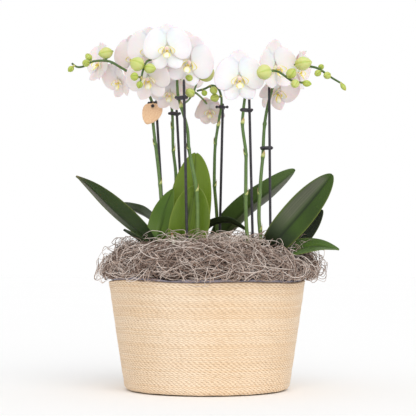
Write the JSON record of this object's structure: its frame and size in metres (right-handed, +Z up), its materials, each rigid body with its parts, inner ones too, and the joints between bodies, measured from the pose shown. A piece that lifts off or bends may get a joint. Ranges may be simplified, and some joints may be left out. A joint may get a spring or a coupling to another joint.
{
  "type": "moth orchid in basket",
  "caption": "Moth orchids with staked arching sprays of white yellow-lipped flowers and broad strap leaves, planted under curly dried moss in a round cord-wound basket.",
  "frame": {"origin": "middle of the basket's flat base, on the surface it stands on", "axes": "+Z up, +X to the right seen from the front, +Y away from the viewer, so the front faces -Y"},
  "size_m": [0.3299, 0.2606, 0.4324],
  "materials": {
    "straw": "matte twisted straw-coloured cord",
    "film": "thin grey film",
    "dried_moss": "dry, matte",
    "bark": "rough bark chips",
    "pot_plastic": "satin",
    "leaf": "waxy, satin",
    "stem": "smooth, satin",
    "black_plastic": "satin black",
    "petal": "soft, faintly glistening",
    "card": "matte kraft card"
  },
  "bodies": {
    "root": {"bark_back": "bark", "bark_left": "bark", "bark_right": "bark", "basket": "straw", "bloom_01": "petal", "bloom_02": "petal", "bloom_03": "petal", "bloom_04": "petal", "bloom_05": "petal", "bloom_06": "petal", "bloom_07": "petal", "bloom_08": "petal", "bloom_09": "petal", "bloom_10": "petal", "bloom_11": "petal", "bloom_12": "petal", "bloom_13": "petal", "bloom_14": "petal", "bloom_15": "petal", "bloom_16": "petal", "clip_1": "black_plastic", "clip_2": "black_plastic", "clip_3": "black_plastic", "clip_4": "black_plastic", "clip_5": "black_plastic", "clip_6": "black_plastic", "crown_back": "leaf", "crown_left": "leaf", "crown_right": "leaf", "leaf_back_1": "leaf", "leaf_back_2": "leaf", "leaf_back_3": "leaf", "leaf_left_1": "leaf", "leaf_left_2": "leaf", "leaf_left_3": "leaf", "leaf_left_4": "leaf", "leaf_left_5": "leaf", "leaf_right_1": "leaf", "leaf_right_2": "leaf", "leaf_right_3": "leaf", "leaf_right_4": "leaf", "liner": "film", "moss": "dried_moss", "pot_back": "pot_plastic", "pot_left": "pot_plastic", "pot_right": "pot_plastic", "reservoir_platform": "pot_plastic", "spike_1": "stem", "spike_2": "stem", "spike_3": "stem", "spike_4": "stem", "spike_5": "stem", "spike_6": "stem", "stake_1": "black_plastic", "stake_2": "black_plastic", "stake_3": "black_plastic", "stake_4": "black_plastic", "stake_5": "black_plastic", "stake_6": "black_plastic", "tag": "card"}
  },
  "joints": []
}
